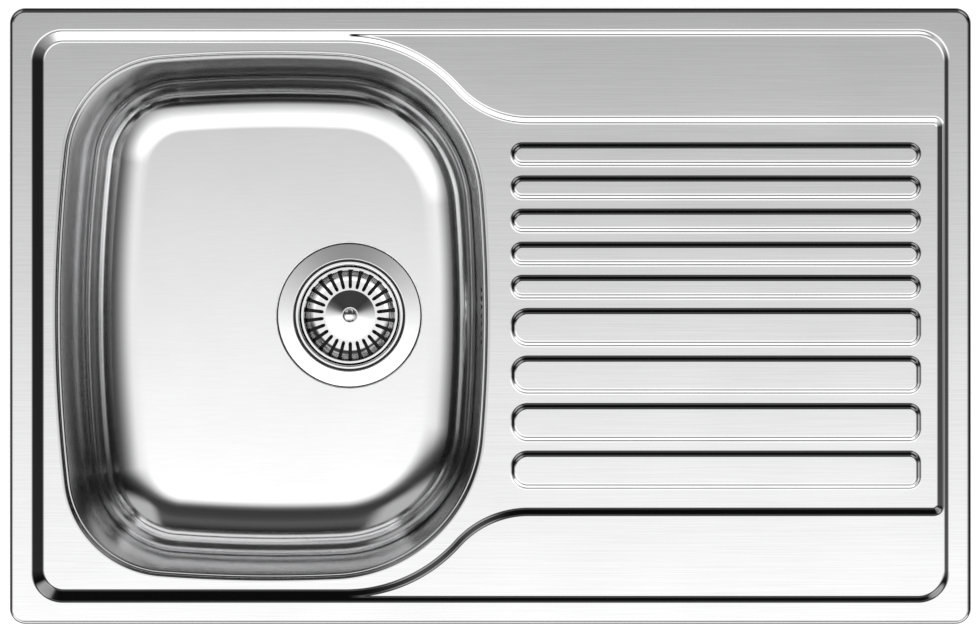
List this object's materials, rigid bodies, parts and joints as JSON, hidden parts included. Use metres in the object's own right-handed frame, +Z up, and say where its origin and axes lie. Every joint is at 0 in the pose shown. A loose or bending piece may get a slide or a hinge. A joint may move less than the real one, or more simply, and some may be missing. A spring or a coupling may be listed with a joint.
{
  "type": "inset kitchen sink",
  "caption": "Inset stainless kitchen sink: a deep rounded bowl on the left, a ribbed drainer on the right, with basket strainer, overflow and under-rim clamps.",
  "frame": {"origin": "centre of the worktop cut-out, on the worktop's top face", "axes": "+X towards the drainer, +Y towards the wall behind the sink, +Z up"},
  "size_m": [0.78, 0.5, 0.242],
  "materials": {
    "deck_steel": "brushed along the length",
    "bowl_steel": "satin",
    "flange_steel": "polished",
    "basket_steel": "polished",
    "knob_steel": "bright",
    "stem_steel": "turned",
    "screw_steel": "turned",
    "bracket_steel": "mill finish",
    "clamp_screw_steel": "zinc plated",
    "claw_steel": "zinc plated",
    "seal_rubber": "matt",
    "stopper_rubber": "matt",
    "seal_foam": "closed-cell foam",
    "white_plastic": "moulded",
    "pipe_plastic": "moulded",
    "nut_plastic": "moulded"
  },
  "bodies": {
    "sink": {"deck_pressing": "deck_steel", "bowl": "bowl_steel", "rim_seal": "seal_foam", "clamp_brackets": "bracket_steel", "strainer_flange": "flange_steel", "flange_seal": "seal_rubber", "body_seal": "seal_rubber", "strainer_body": "white_plastic", "strainer_screw": "screw_steel", "overflow_gasket": "seal_rubber", "overflow_housing": "white_plastic", "overflow_studs": "screw_steel", "overflow_nuts": "screw_steel", "overflow_pipe": "pipe_plastic", "pipe_nut_top": "nut_plastic", "pipe_nut_side": "nut_plastic", "pipe_seals": "seal_rubber"},
    "basket": {"basket_cup": "basket_steel", "basket_stem": "stem_steel", "basket_knob": "knob_steel", "basket_stopper": "stopper_rubber", "stopper_washer": "stem_steel"},
    "screw_1": {"clamp_screw_1": "clamp_screw_steel"},
    "claw_1": {"clamp_claw_1": "claw_steel"},
    "screw_2": {"clamp_screw_2": "clamp_screw_steel"},
    "claw_2": {"clamp_claw_2": "claw_steel"},
    "screw_3": {"clamp_screw_3": "clamp_screw_steel"},
    "claw_3": {"clamp_claw_3": "claw_steel"},
    "screw_4": {"clamp_screw_4": "clamp_screw_steel"},
    "claw_4": {"clamp_claw_4": "claw_steel"},
    "screw_5": {"clamp_screw_5": "clamp_screw_steel"},
    "claw_5": {"clamp_claw_5": "claw_steel"},
    "screw_6": {"clamp_screw_6": "clamp_screw_steel"},
    "claw_6": {"clamp_claw_6": "claw_steel"},
    "screw_7": {"clamp_screw_7": "clamp_screw_steel"},
    "claw_7": {"clamp_claw_7": "claw_steel"},
    "screw_8": {"clamp_screw_8": "clamp_screw_steel"},
    "claw_8": {"clamp_claw_8": "claw_steel"}
  },
  "joints": [
    {"name": "basket_lift", "type": "slide", "parent": "sink", "child": "basket", "axis": [0, 0, 1], "range_m": [0, 0.075]},
    {"name": "clamp_1_tighten", "type": "slide", "parent": "sink", "child": "screw_1", "axis": [0, 0, 1], "range_m": [0, 0.012]},
    {"name": "clamp_1_swing", "type": "hinge", "parent": "screw_1", "child": "claw_1", "pos_m": [-0.27, 0.23, -0.053], "axis": [0, 0, 1], "range_deg": [0, 90]},
    {"name": "clamp_2_tighten", "type": "slide", "parent": "sink", "child": "screw_2", "axis": [0, 0, 1], "range_m": [0, 0.012]},
    {"name": "clamp_2_swing", "type": "hinge", "parent": "screw_2", "child": "claw_2", "pos_m": [0, 0.23, -0.053], "axis": [0, 0, 1], "range_deg": [0, 90]},
    {"name": "clamp_3_tighten", "type": "slide", "parent": "sink", "child": "screw_3", "axis": [0, 0, 1], "range_m": [0, 0.012]},
    {"name": "clamp_3_swing", "type": "hinge", "parent": "screw_3", "child": "claw_3", "pos_m": [0.27, 0.23, -0.053], "axis": [0, 0, 1], "range_deg": [0, 90]},
    {"name": "clamp_4_tighten", "type": "slide", "parent": "sink", "child": "screw_4", "axis": [0, 0, 1], "range_m": [0, 0.012]},
    {"name": "clamp_4_swing", "type": "hinge", "parent": "screw_4", "child": "claw_4", "pos_m": [0.37, 0, -0.053], "axis": [0, 0, 1], "range_deg": [-90, 0]},
    {"name": "clamp_5_tighten", "type": "slide", "parent": "sink", "child": "screw_5", "axis": [0, 0, 1], "range_m": [0, 0.012]},
    {"name": "clamp_5_swing", "type": "hinge", "parent": "screw_5", "child": "claw_5", "pos_m": [0.27, -0.23, -0.053], "axis": [0, 0, 1], "range_deg": [-90, 0]},
    {"name": "clamp_6_tighten", "type": "slide", "parent": "sink", "child": "screw_6", "axis": [0, 0, 1], "range_m": [0, 0.012]},
    {"name": "clamp_6_swing", "type": "hinge", "parent": "screw_6", "child": "claw_6", "pos_m": [0, -0.23, -0.053], "axis": [0, 0, 1], "range_deg": [-90, 0]},
    {"name": "clamp_7_tighten", "type": "slide", "parent": "sink", "child": "screw_7", "axis": [0, 0, 1], "range_m": [0, 0.012]},
    {"name": "clamp_7_swing", "type": "hinge", "parent": "screw_7", "child": "claw_7", "pos_m": [-0.27, -0.23, -0.053], "axis": [0, 0, 1], "range_deg": [-90, 0]},
    {"name": "clamp_8_tighten", "type": "slide", "parent": "sink", "child": "screw_8", "axis": [0, 0, 1], "range_m": [0, 0.012]},
    {"name": "clamp_8_swing", "type": "hinge", "parent": "screw_8", "child": "claw_8", "pos_m": [-0.37, 0, -0.053], "axis": [0, 0, 1], "range_deg": [0, 90]}
  ]
}
